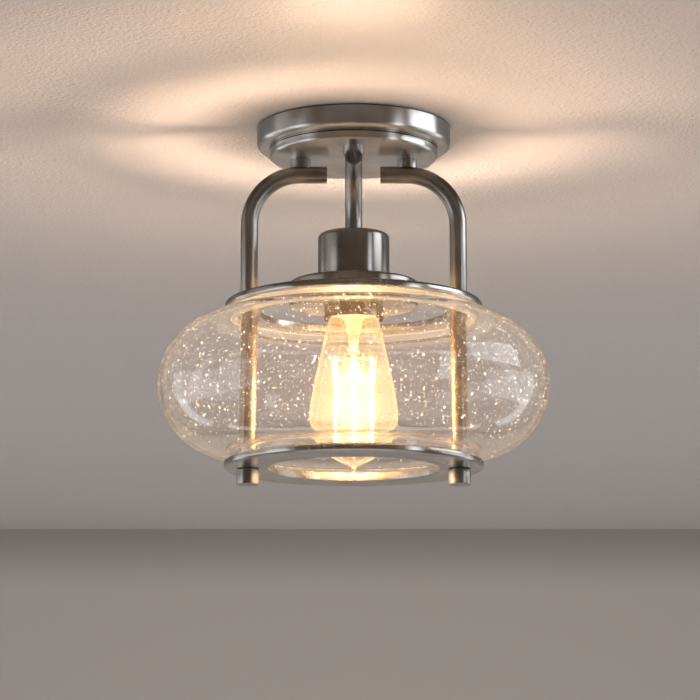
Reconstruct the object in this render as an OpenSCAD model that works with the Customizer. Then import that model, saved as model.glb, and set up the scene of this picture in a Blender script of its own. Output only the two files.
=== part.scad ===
// Porch ceiling lantern. A round canopy carries three bent tube arms on short posts.
// The two side arms hold a top ring; rods through the glass shade hold the bottom ring.
// The middle arm is hollow, brings the wires down and holds the lampholder and its bulb.
//
// Millimetres, +Z up. The origin lies on the ceiling plane, on the lantern's axis.
// The front of the lantern is towards -Y.

/* [Canopy] */
// Outer diameter of the wide upper band, at the ceiling
canopy_d = 152.4; // [146:0.2:176]
// Height of the wide upper band
canopy_band_h = 17; // [13:0.5:20]
// Radius of the wide band's rounded shoulder
canopy_shoulder_r = 4; // [2:0.5:6]
// Outer diameter of the narrow lower band
canopy_step_d = 132.4; // [124:0.2:138]
// Whole height of the canopy
canopy_h = 25; // [23:0.5:32]
// Radius of the narrow band's lower edge
canopy_edge_r = 2.5; // [1.5:0.5:4]
// Thickness of the canopy's sheet
canopy_wall = 1; // [0.8:0.1:1.5]
// Diameter of the two screws through the canopy's rim
rim_screw_d = 4; // [3:0.5:5]
// Depth of the rim screws below the ceiling
rim_screw_z = 8; // [6:0.5:9]

/* [Mounting strap] */
// Width of the strap
strap_w = 22; // [18:1:28]
// Thickness of the strap
strap_t = 2; // [1.5:0.25:3]
// Gap between the strap's turned ears and the canopy's wall
ear_gap = 3; // [2:0.5:6]
// How far the ears reach below the ceiling
ear_h = 13; // [11:0.5:15]
// Distance between the two slots for the ceiling box's screws
box_spacing = 88.9; // [80:0.1:96]
// Width of the slots for the ceiling box's screws
box_slot_w = 4.8; // [4:0.1:5.6]
// Length of the slots, end to end
box_slot_l = 12; // [8:0.5:16]
// Diameter of the opening for the supply wires
supply_hole_d = 14; // [10:0.5:16]
// Distance from the earth screw to the right post's screw
earth_gap = 20; // [19:0.5:24]
// Diameter of the earth screw
earth_screw_d = 4; // [3:0.5:4.5]

/* [Posts and arms] */
// Outer diameter of the arm tubes
arm_d = 13.5; // [12:0.1:15]
// Wall of the arm tubes
arm_wall = 1.25; // [1:0.05:1.6]
// Bend radius of the arms, at the tube's centre
arm_bend_r = 40; // [34:0.5:44]
// Straight run of each arm past its post
arm_run = 21; // [14:0.5:26]
// Drop from the level runs to the top ring
arm_drop = 103.5; // [98:0.5:118]
// Diameter of the posts
post_d = 16; // [14.5:0.5:18]
// Free length of the posts between canopy and tube
post_gap = 5.75; // [4:0.25:10]
// How far the posts' saddles reach down round the tubes
saddle_h = 1.8; // [1:0.1:3]
// Diameter of the screws in the side posts
post_screw_d = 5; // [4:0.5:6]

/* [Rings and rods] */
// Diameter of the hole in the top ring
top_hole_d = 148; // [136:0.5:156]
// Distance from the top ring's hole to the axis of the rods and the arms' legs
rod_margin = 8; // [7.5:0.25:9]
// Distance from the rods' axis to the outside of the shade's necks
neck_margin = 14; // [13:0.1:15]
// Width of the rings past the shade's necks
ring_lip = 4.6; // [4:0.1:9]
// Thickness of both rings
ring_t = 6.5; // [5:0.25:9]
// Radius of the rings' rounded outer edges
ring_edge_r = 2.4; // [1:0.1:2.5]
// Diameter of the hole in the bottom ring
bottom_hole_d = 133.4; // [110:0.2:145]
// Diameter of the rods inside the shade
rod_d = 13; // [11:0.1:14]
// Diameter of the studs in the rods' ends
stud_d = 8; // [6:0.5:8]
// Depth of the studs in the rods and in the arms' plugs
stud_grip = 11; // [8:0.5:14]
// Diameter of the cap nuts
cap_d = 17.5; // [15:0.1:18.5]
// Length of the cap nuts
cap_h = 12.2; // [10:0.1:16]
// Length of thread in the cap nuts
cap_thread_h = 9; // [6:0.25:9]

/* [Glass shade] */
// Largest diameter of the shade
shade_d = 305; // [296:0.5:320]
// Free height between the two rings
shade_gap = 117.8; // [114:0.1:132]
// Height of the shade's necks between the rings and the bulge
neck_h = 4.4; // [3.6:0.1:6]
// Thickness of the glass
shade_wall = 3.2; // [2.4:0.1:4]
// Radius between a neck and the bulge
neck_fillet = 1.5; // [1:0.1:1.8]
// Depth of the ring seats that hold the necks
seat_h = 1.5; // [1.2:0.1:2.5]
// Thickness of the gaskets in the seats
gasket_t = 0.8; // [0.5:0.05:1]

/* [Socket group] */
// Drop from the middle arm's level run to the socket cup
stem_drop = 47.7; // [44:0.1:52]
// Outer diameter of the socket cup
cup_d = 56; // [52:0.5:64]
// Height of the socket cup
cup_h = 39.3; // [36:0.1:46]
// Radius of the cup's rounded top edge
cup_edge_r = 4.5; // [2:0.5:6]
// Thickness of the cup, the pan and the sleeve
shell_wall = 1; // [0.8:0.1:1.4]
// Outer diameter of the pan below the cup
pan_d = 102; // [84:0.5:108]
// Height of the pan
pan_h = 14.1; // [11:0.1:17]
// Radius of the pan's rounded top edge
pan_edge_r = 2.5; // [1.5:0.5:4]
// Outer diameter of the sleeve round the lampholder's mouth
sleeve_d = 47; // [46:0.5:52]
// Free length of the sleeve below the pan
sleeve_h = 13.1; // [9:0.1:16]
// Diameter of the lampholder
holder_d = 40; // [38.5:0.5:41]
// Height of the lampholder
holder_h = 39.3; // [37:0.1:44]
// Height of the bracket that carries the lampholder
bracket_h = 21.5; // [18:0.5:24]
// Thickness of the bracket's strip
bracket_t = 1.5; // [1:0.1:2]
// Width of the bracket's strip
bracket_w = 12; // [11:0.5:14]
// Outer diameter of the threaded nipples
nipple_d = 9.6; // [9.2:0.1:10]
// Bore of the threaded nipples
nipple_bore_d = 7; // [6.6:0.1:7.4]

/* [Wires] */
// Diameter of the insulated wires
wire_d = 2.6; // [2:0.1:2.8]
// Distance between the two wires' centres
wire_spacing = 3.2; // [3.1:0.1:3.6]
// Length of the twist-on connectors
connector_l = 20; // [16:1:24]
// Diameter of the connectors at the mouth
connector_d = 9.5; // [8:0.5:11]

/* [Bulb] */
// Largest diameter of the bulb
bulb_d = 69; // [60:0.5:74]
// Whole length of the bulb, contact to tip
bulb_l = 153; // [146:0.5:158]
// Diameter of the bulb's screw cap
bulb_cap_d = 26.3; // [26:0.1:26.6]
// Length of the screw cap's shell
bulb_cap_h = 24; // [22:0.5:25]
// Diameter of the bulb where its shoulder ends
shoulder_d = 40.4; // [36:0.2:43]
// Thickness of the bulb's glass
bulb_wall = 0.8; // [0.6:0.05:1]
// Length of the filament bars
bar_l = 65; // [50:1:68]
// Diameter of the filament bars
bar_d = 2.2; // [1.5:0.1:3]
// Diameter of the circle on which the filament bars stand
bar_circle_d = 33; // [24:0.5:36]

/* [Hidden] */
$fn = 96;
cut = 1;                  // overshoot of a cutting shape past the face it cuts
thread_gap = 0.05;        // radial clearance of a thread that turns by hand
slip_gap = 0.25;          // radial clearance of a hole round a screw or nipple
face_gap = 0.3;           // clearance between the faces of pieces that turn on each other
seat_gap = 0.5;           // clearance of the glass necks in their seats, each side
bar_count = 6;

// Heights, from the ceiling down
floor_z = -canopy_h + canopy_wall;
run_z = -canopy_h - post_gap - arm_d / 2;
top_ring_z = run_z - arm_drop;
shade_top_z = top_ring_z - ring_t;
shade_bottom_z = shade_top_z - shade_gap;
shade_mid_z = (shade_top_z + shade_bottom_z) / 2;
bottom_ring_z = shade_bottom_z - ring_t;
cap_top_z = bottom_ring_z - face_gap;
cup_top_z = run_z - stem_drop;
pan_top_z = cup_top_z - cup_h;
pan_bottom_z = pan_top_z - pan_h;
bracket_top_z = cup_top_z - shell_wall;
holder_top_z = bracket_top_z - bracket_h;
holder_mouth_z = holder_top_z - holder_h;

// Side posts stand where the bends end; the front post leaves room for the wires' turn
wire_turn_r = 3;
leg_r = top_hole_d / 2 + rod_margin;
post_x = leg_r - arm_bend_r;
post_y = -arm_bend_r - wire_turn_r;

// Shade and rings: the bulge is an arc that passes its widest point and both necks
shade_neck_r = leg_r + neck_margin;
ring_r = shade_neck_r + ring_lip;
seat_r_in = shade_neck_r - shade_wall - seat_gap;
seat_r_out = shade_neck_r + seat_gap;
neck_top = shade_gap / 2 + seat_h - gasket_t;
turn_x = shade_neck_r + neck_fillet;
bulge_w = shade_d / 2 - turn_x;
bulge_h = shade_gap / 2 - neck_h;
bulge_r = (bulge_h * bulge_h + bulge_w * bulge_w) / (2 * bulge_w);
bulge_x = shade_d / 2 - bulge_r;
turn_z = sqrt(pow(bulge_r + neck_fillet, 2) - pow(bulge_x - turn_x, 2));

// Screws
head_ratio = 1.75;        // diameter of a screw's head, per diameter of its shank
head_h = 2.5;
slot_w = 1;
slot_h = 1;
post_screw_grip = post_gap - 0.75;
washer_t = 0.8;
washer_d = 10;
rim_screw_l = ear_gap + canopy_wall + 3.5;

// Nuts on the nipples
nut_af = 14;
nut_h = 3.5;
nipple_over = 3;          // length of nipple that stands past its nut
stem_grip = stem_drop - arm_bend_r - 0.5;   // the plug fills the stem's short straight end

// Lampholder
holder_roof = 8.5;        // solid top of the lampholder
cavity_z = holder_top_z - holder_roof;
shell_gap = 0.1;          // running clearance of the bulb's cap in the screw shell
shell_t = 0.5;
shell_r = bulb_cap_d / 2 + shell_gap;
shell_top_z = cavity_z - 2.3;
contact_z = cavity_z - 4.5;
contact_t = 0.8;
cavity_r = shell_r + shell_t + 0.45;
terminal_x = 12;
terminal_d = 3.5;
bracket_y = 15;           // outside of the bracket's legs
foot_screw_y = 10;
foot_screw_d = 3.5;
foot_screw_grip = 6;
clamp_h = 5;
clamp_w = 2;

// Wires
wire_r = wire_d / 2;
wire_bend_r = 5;
lead_z = -13;             // level of the wires and connectors inside the canopy
connector_x = 14;         // where the connectors' mouths stand
connector_end_d = 6;
connector_grip = 8;
wire_hole_r = nipple_bore_d / 2;
wire_end_z = holder_top_z + 1.4;

// Earth wire, in the plane of the strap
earth_screw_x = post_x - earth_gap;
earth_d = 1.8;
earth_bend_r = 4;
earth_drop_x = post_x - 10;
earth_eye_d = 10;
earth_eye_h = 2;
earth_top_z = -strap_t - earth_eye_h / 2;
earth_low_z = floor_z + earth_eye_h / 2;

// Bulb
bulb_top_z = contact_z - face_gap;
bulb_tip_z = bulb_top_z - bulb_l;
cap_shell_z = bulb_top_z - 3.5;
cap_shell_t = 0.4;
cap_end_z = cap_shell_z - bulb_cap_h;
neck_r = bulb_cap_d / 2 - cap_shell_t - 0.15;
shoulder_z = cap_end_z - 5.5;
cone_z = bulb_tip_z + bulb_l * 0.0765;   // where the round end turns into the drawn tip
cone_r = bulb_d / 4;
belly_z = cone_z + bulb_l * 0.1915;
tip_r = 1.4;
bars_low_z = cone_z + bulb_l * 0.0804;
bars_top_z = bars_low_z + bar_l;
stem_glass_r = 3.9;
stem_button_h = 3;
stem_button_z = bars_top_z + stem_button_h;
support_d = 0.8;

// ---- Shared shapes ----

// A round pan's half section: radius r, depth h below zero, lower edge rounded by e
module pan_section(r, h, e) {
    translate([0, -h + e]) square([r, h - e]);
    translate([0, -h]) square([r - e, h]);
    translate([r - e, -h + e]) circle(e);
}

// A tube along Z from z0 up to z1
module tube(z0, z1, r_out, r_in) {
    translate([0, 0, z0]) difference() {
        cylinder(h = z1 - z0, r = r_out);
        translate([0, 0, -cut]) cylinder(h = z1 - z0 + 2 * cut, r = r_in);
    }
}

// A rod along Z from z0 up to z1
module rod(z0, z1, r) {
    translate([0, 0, z0]) cylinder(h = z1 - z0, r = r);
}

// A flat ring's half section, its outer edges rounded, between z = 0 and z = t
module ring_section(r_in, r_out, t, e) {
    translate([r_in, 0]) square([r_out - e - r_in, t]);
    translate([r_out - e, e]) square([e, t - 2 * e]);
    for (z = [e, t - e]) translate([r_out - e, z]) circle(e);
}

// A slotted cheese-head screw: its head stands on z = 0, its shank hangs below
module screw(d, grip) {
    difference() {
        cylinder(h = head_h, d = d * head_ratio);
        translate([-d, -slot_w / 2, head_h - slot_h]) cube([2 * d, slot_w, slot_h + cut]);
    }
    rod(-grip, 0, d / 2);
}

// A hexagon nut on z = 0
module hex_nut(bore_r) {
    difference() {
        cylinder(h = nut_h, d = nut_af / cos(30), $fn = 6);
        translate([0, 0, -cut]) cylinder(h = nut_h + 2 * cut, r = bore_r);
    }
}

// Quarter of a torus: it starts at the origin, leaves along -Z and turns to +X
module elbow(bend_r, r_out, r_in = 0) {
    translate([bend_r, 0, 0]) rotate([90, 0, 0]) rotate([0, 0, 180])
        rotate_extrude(angle = 90) translate([bend_r, 0]) difference() {
            circle(r_out);
            if (r_in > 0) circle(r_in);
        }
}

// Places its children at both side legs
module at_legs() {
    for (side = [-1, 1]) translate([side * leg_r, 0, 0]) children();
}

// ---- Mounting strap and canopy ----

canopy_bore_r = canopy_d / 2 - canopy_wall;
ear_x = canopy_bore_r - ear_gap;

module mounting_strap() {
    color("silver") difference() {
        union() {
            translate([-ear_x, -strap_w / 2, -strap_t]) cube([2 * ear_x, strap_w, strap_t]);
            for (side = [-1, 1])
                translate([side * (ear_x - strap_t / 2) - strap_t / 2, -strap_w / 2, -ear_h])
                    cube([strap_t, strap_w, ear_h]);
        }
        rod(-strap_t - cut, cut, supply_hole_d / 2);
        translate([earth_screw_x, 0, 0]) rod(-strap_t - cut, cut, earth_screw_d / 2);
        for (side = [-1, 1]) {
            translate([side * box_spacing / 2, 0, 0]) box_slot();
            rim_screw_hole(side, rim_screw_d / 2);
        }
    }
}

module box_slot() {
    end_x = (box_slot_l - box_slot_w) / 2;
    for (side = [-1, 1])
        translate([side * end_x, 0, 0]) rod(-strap_t - cut, cut, box_slot_w / 2);
    translate([-end_x, -box_slot_w / 2, -strap_t - cut])
        cube([2 * end_x, box_slot_w, strap_t + 2 * cut]);
}

module rim_screw_hole(side, r) {
    translate([side * (ear_x - strap_t - cut), 0, -rim_screw_z]) rotate([0, side * 90, 0])
        cylinder(h = strap_t + ear_gap + canopy_wall + 2 * cut, r = r);
}

module rim_screws() {
    color("silver") for (side = [-1, 1])
        translate([side * canopy_d / 2, 0, -rim_screw_z]) rotate([0, side * 90, 0])
            difference() {
                rod(-rim_screw_l, 0, rim_screw_d / 2);
                translate([-rim_screw_d, -slot_w / 2, -slot_h])
                    cube([2 * rim_screw_d, slot_w, slot_h + cut]);
            }
}

module earth_screw() {
    color("green") translate([earth_screw_x, 0, -strap_t - earth_eye_h]) mirror([0, 0, 1])
        screw(earth_screw_d, strap_t + earth_eye_h);
}

// The earth wire runs from an eye on the strap down to an eye on the right post's screw
module earth_wire() {
    r = earth_d / 2;
    start_x = earth_screw_x + earth_eye_d / 2 - 1;
    end_x = post_x - earth_eye_d / 2 + 1;
    color("green") difference() {
        union() {
            translate([earth_screw_x, 0, 0])
                rod(-strap_t - earth_eye_h, -strap_t, earth_eye_d / 2);
            translate([post_x, 0, 0]) rod(floor_z, floor_z + earth_eye_h, earth_eye_d / 2);
            translate([start_x, 0, earth_top_z]) rotate([0, 90, 0])
                cylinder(h = earth_drop_x - earth_bend_r - start_x, r = r);
            translate([earth_drop_x, 0, earth_top_z - earth_bend_r]) mirror([1, 0, 0])
                mirror([0, 0, 1]) elbow(earth_bend_r, r);
            translate([earth_drop_x, 0, 0])
                rod(earth_low_z + earth_bend_r, earth_top_z - earth_bend_r, r);
            translate([earth_drop_x, 0, earth_low_z + earth_bend_r]) elbow(earth_bend_r, r);
            translate([earth_drop_x + earth_bend_r, 0, earth_low_z]) rotate([0, 90, 0])
                cylinder(h = end_x - earth_drop_x - earth_bend_r, r = r);
        }
        translate([earth_screw_x, 0, 0])
            rod(-strap_t - earth_eye_h - cut, cut, earth_screw_d / 2);
        translate([post_x, 0, 0]) rod(floor_z - cut, floor_z + earth_eye_h + cut, post_screw_d / 2);
    }
}

module canopy() {
    color("darkgray") difference() {
        rotate_extrude() difference() {
            union() {
                pan_section(canopy_d / 2, canopy_band_h, canopy_shoulder_r);
                pan_section(canopy_step_d / 2, canopy_h, canopy_edge_r);
            }
            pan_section(canopy_bore_r, canopy_band_h - canopy_wall, canopy_shoulder_r - canopy_wall);
            pan_section(canopy_step_d / 2 - canopy_wall, canopy_h - canopy_wall,
                        canopy_edge_r - canopy_wall);
        }
        for (side = [-1, 1]) {
            translate([side * post_x, 0, 0])
                rod(-canopy_h - cut, floor_z + cut, post_screw_d / 2 + slip_gap);
            rim_screw_hole(side, rim_screw_d / 2 + slip_gap);
        }
        translate([0, post_y, 0]) rod(-canopy_h - cut, floor_z + cut, nipple_d / 2 + slip_gap);
    }
}

// ---- Posts and arms ----

// A post at the origin, saddled on a tube that runs along X; bore_r is drilled from above
module post(bore_r, bore_h) {
    color("gray") difference() {
        rod(run_z + arm_d / 2 - saddle_h, -canopy_h, post_d / 2);
        translate([-post_d, 0, run_z]) rotate([0, 90, 0]) cylinder(h = 2 * post_d, d = arm_d);
        rod(-canopy_h - bore_h, -canopy_h + cut, bore_r);
    }
}

module post_left() {
    translate([-post_x, 0, 0]) post(post_screw_d / 2, post_screw_grip);
}

module post_right() {
    translate([post_x, 0, 0]) post(post_screw_d / 2, post_screw_grip);
}

module post_front() {
    translate([0, post_y, 0]) rotate([0, 0, 90]) post(nipple_d / 2, post_gap + saddle_h + cut);
}

module post_screws() {
    seat = [washer_t, earth_eye_h];
    color("silver") for (i = [0, 1]) translate([(2 * i - 1) * post_x, 0, floor_z + seat[i]])
        screw(post_screw_d, seat[i] + canopy_wall + post_screw_grip);
}

module post_washer() {
    color("silver") translate([-post_x, 0, 0])
        tube(floor_z, floor_z + washer_t, washer_d / 2, post_screw_d / 2);
}

module wire_nipple() {
    color("gold") translate([0, post_y, 0])
        tube(-canopy_h - post_gap, floor_z + nut_h + nipple_over, nipple_d / 2, nipple_bore_d / 2);
}

module nipple_nut() {
    color("gold") translate([0, post_y, floor_z]) hex_nut(nipple_d / 2);
}

// A bent arm: the leg hangs below the origin by drop, the run leaves towards +X
module arm(drop) {
    r_in = arm_d / 2 - arm_wall;
    color("darkgray") {
        tube(-drop, -arm_bend_r, arm_d / 2, r_in);
        translate([0, 0, -arm_bend_r]) mirror([0, 0, 1]) elbow(arm_bend_r, arm_d / 2, r_in);
        translate([arm_bend_r, 0, 0]) rotate([0, 90, 0]) tube(0, arm_run, arm_d / 2, r_in);
    }
}

module arm_left() {
    translate([-leg_r, 0, run_z]) arm(arm_drop);
}

module arm_right() {
    translate([leg_r, 0, run_z]) mirror([1, 0, 0]) arm(arm_drop);
}

// The middle arm runs forwards and has a hole under the nipple for the wires
module arm_stem() {
    color("darkgray") difference() {
        translate([0, 0, run_z]) rotate([0, 0, -90]) arm(stem_drop);
        translate([0, post_y, 0]) rod(run_z, run_z + arm_d, wire_hole_r);
    }
}

module arm_plugs() {
    color("silver") at_legs()
        tube(top_ring_z, top_ring_z + stud_grip, arm_d / 2 - arm_wall, stud_d / 2);
}

module stem_plug() {
    color("silver") tube(cup_top_z, cup_top_z + stem_grip, arm_d / 2 - arm_wall, nipple_d / 2);
}

// ---- Rings, rods and shade ----

// A ring on z = 0 whose seat for the glass is in its lower face
module seated_ring(hole_d) {
    difference() {
        rotate_extrude() ring_section(hole_d / 2, ring_r, ring_t, ring_edge_r);
        tube(-cut, seat_h, seat_r_out, seat_r_in);
        at_legs() rod(-cut, ring_t + cut, stud_d / 2 + slip_gap);
    }
}

module top_ring() {
    color("darkgray") translate([0, 0, shade_top_z]) seated_ring(top_hole_d);
}

module bottom_ring() {
    color("darkgray") translate([0, 0, shade_bottom_z]) mirror([0, 0, 1])
        seated_ring(bottom_hole_d);
}

module gasket_top() {
    z = shade_top_z + seat_h;
    color("whitesmoke") tube(z - gasket_t, z, seat_r_out, seat_r_in);
}

module gasket_bottom() {
    z = shade_bottom_z - seat_h;
    color("whitesmoke") tube(z, z + gasket_t, seat_r_out, seat_r_in);
}

module ring_studs() {
    color("silver") at_legs()
        rod(shade_top_z - stud_grip, top_ring_z + stud_grip, stud_d / 2);
}

module shade_rod() {
    color("darkgray") difference() {
        rod(shade_bottom_z, shade_top_z, rod_d / 2);
        rod(shade_top_z - stud_grip, shade_top_z + cut, stud_d / 2);
        rod(shade_bottom_z - cut, shade_bottom_z + stud_grip, stud_d / 2);
    }
}

module rod_left() {
    translate([-leg_r, 0, 0]) shade_rod();
}

module rod_right() {
    translate([leg_r, 0, 0]) shade_rod();
}

module cap_studs() {
    color("silver") at_legs()
        rod(cap_top_z - cap_thread_h + face_gap, shade_bottom_z + stud_grip, stud_d / 2);
}

// A round cap nut below the bottom ring: its ends are bevelled and its thread is blind
module cap_nut() {
    bevel = 0.6;
    color("darkgray") translate([0, 0, cap_top_z]) difference() {
        rotate_extrude() polygon([[0, 0], [cap_d / 2 - bevel, 0], [cap_d / 2, -bevel],
                                  [cap_d / 2, -cap_h + bevel], [cap_d / 2 - bevel, -cap_h],
                                  [0, -cap_h]]);
        rod(-cap_thread_h, cut, stud_d / 2 + thread_gap);
    }
}

module cap_nut_left() {
    translate([-leg_r, 0, 0]) cap_nut();
}

module cap_nut_right() {
    translate([leg_r, 0, 0]) cap_nut();
}

// Half section of all that lies within one face of the shade's wall; w is how far that
// face lies inside the outer one. Arcs between neck and bulge touch both.
module shade_filled(w) {
    translate([bulge_x, 0]) circle(bulge_r - w);
    translate([0, -neck_top]) square([shade_neck_r - w, 2 * neck_top]);
    for (side = [0, 1]) mirror([0, side]) difference() {
        polygon([[turn_x, turn_z], [0, turn_z], [0, 0], [bulge_x, 0]]);
        translate([turn_x, turn_z]) circle(neck_fillet + w);
    }
}

module glass_shade() {
    color("lightcyan", 0.4) translate([0, 0, shade_mid_z]) rotate_extrude() difference() {
        shade_filled(0);
        shade_filled(shade_wall);
        translate([-shade_d, -shade_d]) square([shade_d, 2 * shade_d]);
        translate([0, -neck_top - cut]) square([shade_neck_r - shade_wall, 2 * (neck_top + cut)]);
    }
}

// ---- Socket group ----

module stem_nipple() {
    color("gold") tube(bracket_top_z - bracket_t - nut_h - nipple_over, cup_top_z + stem_grip,
                       nipple_d / 2, nipple_bore_d / 2);
}

module stem_nut() {
    color("gold") translate([0, 0, bracket_top_z - bracket_t - nut_h]) hex_nut(nipple_d / 2);
}

// A strip bent down on both sides of the wires, with feet that turn inwards
module socket_bracket() {
    foot_l = 8;
    color("silver") difference() {
        union() {
            translate([-bracket_w / 2, -bracket_y, bracket_top_z - bracket_t])
                cube([bracket_w, 2 * bracket_y, bracket_t]);
            for (side = [-1, 1]) {
                translate([-bracket_w / 2, side * (bracket_y - bracket_t / 2) - bracket_t / 2,
                           holder_top_z]) cube([bracket_w, bracket_t, bracket_h]);
                translate([-bracket_w / 2, side * (bracket_y - foot_l / 2) - foot_l / 2,
                           holder_top_z]) cube([bracket_w, foot_l, bracket_t]);
            }
        }
        rod(bracket_top_z - bracket_t - cut, bracket_top_z + cut, nipple_d / 2);
        for (side = [-1, 1]) translate([0, side * foot_screw_y, 0])
            rod(holder_top_z - cut, holder_top_z + bracket_t + cut, foot_screw_d / 2);
    }
}

module bracket_screws() {
    color("silver") for (side = [-1, 1])
        translate([0, side * foot_screw_y, holder_top_z + bracket_t])
            screw(foot_screw_d, bracket_t + foot_screw_grip);
}

// A spun cover, open below: its top is at z_top and has a round hole
module spun_cover(z_top, r, h, e, hole_r) {
    translate([0, 0, z_top]) difference() {
        mirror([0, 0, 1]) rotate_extrude() mirror([0, 1]) translate([0, -h]) mirror([0, 1])
            difference() {
                pan_section(r, h, e);
                translate([0, cut]) pan_section(r - shell_wall, h + cut - shell_wall,
                                                e - shell_wall);
            }
        rod(-shell_wall - cut, cut, hole_r);
    }
}

module socket_cup() {
    color("dimgray") spun_cover(cup_top_z, cup_d / 2, cup_h, cup_edge_r, nipple_d / 2 + slip_gap);
}

module pan_cover() {
    color("dimgray") spun_cover(pan_top_z, pan_d / 2, pan_h, pan_edge_r, holder_d / 2 + slip_gap);
}

module spacer_tube() {
    spacer_r = cup_d / 2 - shell_wall / 2;
    color("silver") tube(pan_bottom_z + shell_wall, pan_top_z - shell_wall, spacer_r + shell_wall / 2,
                         spacer_r - shell_wall / 2);
}

module reflector_plate() {
    color("silver") tube(pan_bottom_z, pan_bottom_z + shell_wall, pan_d / 2 - shell_wall,
                         holder_d / 2 + slip_gap);
}

module socket_sleeve() {
    color("dimgray") {
        tube(pan_bottom_z - sleeve_h, pan_bottom_z, sleeve_d / 2, sleeve_d / 2 - shell_wall);
        tube(pan_bottom_z - shell_wall, pan_bottom_z, sleeve_d / 2 - shell_wall / 2,
             holder_d / 2 + slip_gap);
    }
}

module clamp_ring() {
    color("silver") tube(pan_bottom_z - shell_wall - clamp_h, pan_bottom_z - shell_wall,
                         holder_d / 2 + clamp_w, holder_d / 2);
}

module lampholder() {
    color("white") difference() {
        rod(holder_mouth_z, holder_top_z, holder_d / 2);
        rod(holder_mouth_z - cut, cavity_z, cavity_r);
        for (side = [-1, 1]) {
            translate([side * terminal_x, 0, 0]) rod(cavity_z - cut, holder_top_z + cut, terminal_d / 2);
            translate([0, side * foot_screw_y, 0])
                rod(holder_top_z - foot_screw_grip, holder_top_z + cut, foot_screw_d / 2);
        }
    }
}

// The threaded shell, with a flange under the lampholder's roof
module screw_shell() {
    flange_r = 8;
    color("gold") {
        tube(holder_mouth_z + 0.5, shell_top_z, shell_r + shell_t, shell_r);
        tube(shell_top_z - shell_t, shell_top_z, shell_r + shell_t / 2, flange_r);
    }
}

// A strap from the live terminal to the button that meets the bulb
module centre_contact() {
    strap_half_w = 2.5;
    strap_l = terminal_x + strap_half_w / 2;
    color("gold") {
        translate([-strap_l, -strap_half_w, cavity_z - contact_t])
            cube([strap_l, 2 * strap_half_w, contact_t]);
        rod(contact_z + 1, cavity_z, strap_half_w);
        rod(contact_z, contact_z + 1 + contact_t / 2, strap_half_w + 1);
    }
}

module terminal_screws() {
    grip = [holder_roof, holder_top_z - shell_top_z];
    color("silver") for (i = [0, 1])
        translate([(2 * i - 1) * terminal_x, 0, holder_top_z]) screw(terminal_d, grip[i]);
}

// ---- Wires ----

// A wire from its connector in the canopy, through nipple, post and arm, to its terminal.
// It is drawn for the +X side.
module wire() {
    x = wire_spacing / 2;
    terminal_edge_x = terminal_x - terminal_d * head_ratio / 2;
    // in the canopy, towards the connector, then down through the nipple and the post
    translate([x + wire_bend_r, post_y, lead_z]) rotate([0, 90, 0])
        cylinder(h = connector_x + connector_grip - x - wire_bend_r, r = wire_r);
    translate([x, post_y, lead_z - wire_bend_r]) mirror([0, 0, 1]) elbow(wire_bend_r, wire_r);
    translate([x, post_y, 0]) rod(run_z + wire_turn_r, lead_z - wire_bend_r, wire_r);
    // into the arm and round its bend
    translate([x, post_y, run_z + wire_turn_r]) rotate([0, 0, 90]) elbow(wire_turn_r, wire_r);
    translate([x, 0, run_z - arm_bend_r]) rotate([0, 0, -90]) mirror([0, 0, 1])
        elbow(arm_bend_r, wire_r);
    // down the stem and out to the terminal
    translate([x, 0, 0]) rod(wire_end_z + wire_bend_r, run_z - arm_bend_r, wire_r);
    translate([x, 0, wire_end_z + wire_bend_r]) elbow(wire_bend_r, wire_r);
    translate([x + wire_bend_r, 0, wire_end_z]) rotate([0, 90, 0])
        cylinder(h = terminal_edge_x - x - wire_bend_r, r = wire_r);
}

module wire_white() {
    color("white") wire();
}

module wire_black() {
    color("black") mirror([1, 0, 0]) wire();
}

// A twist-on connector on the wire's end, its mouth towards the lantern's middle
module connector() {
    translate([connector_x, post_y, lead_z]) rotate([0, 90, 0]) difference() {
        cylinder(h = connector_l, d1 = connector_d, d2 = connector_end_d);
        translate([0, 0, -cut]) cylinder(h = connector_grip + cut, r = wire_r);
    }
}

module connector_white() {
    color("orange") connector();
}

module connector_black() {
    color("orange") mirror([1, 0, 0]) connector();
}

// ---- Bulb ----

// Points on a cubic curve from a to d, pulled by b and c, without the last one
curve_steps = 12;
function curve(a, b, c, d) = [
    for (i = [0:curve_steps - 1]) let (t = i / curve_steps, s = 1 - t)
        s * s * s * a + 3 * s * s * t * b + 3 * s * t * t * c + t * t * t * d
];

// The bulb's outline from its neck to its drawn tip, moved inwards by w
function bulb_outline(w) = let (
    neck = [neck_r - w, cap_end_z],
    shoulder = [shoulder_d / 2 - w, shoulder_z],
    belly = [bulb_d / 2 - w, belly_z],
    cone = [cone_r - w, cone_z + w / 2],
    tip = [tip_r - w / 2, bulb_tip_z + tip_r + w]
) concat(
    curve(neck, neck + [4.9, -0.4], shoulder + [-0.6, 2.5], shoulder),
    curve(shoulder, shoulder + [2.3, -14], belly + [0, 19], belly),
    curve(belly, belly - [0, 14], cone + [9.7, 7.8], cone),
    curve(cone, cone - [7.3, 5.2], tip + [0.6, 4], tip),
    [tip, [tip[0] * 0.7, bulb_tip_z + tip_r * 0.3 + w], [0, bulb_tip_z + w]]
);

module bulb_glass() {
    neck_top = cap_end_z + 3;
    color("lightyellow", 0.4) rotate_extrude() difference() {
        polygon(concat([[0, neck_top], [neck_r, neck_top]], bulb_outline(0)));
        polygon(concat([[0, neck_top + cut], [neck_r - bulb_wall, neck_top + cut]],
                       bulb_outline(bulb_wall)));
    }
}

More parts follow.
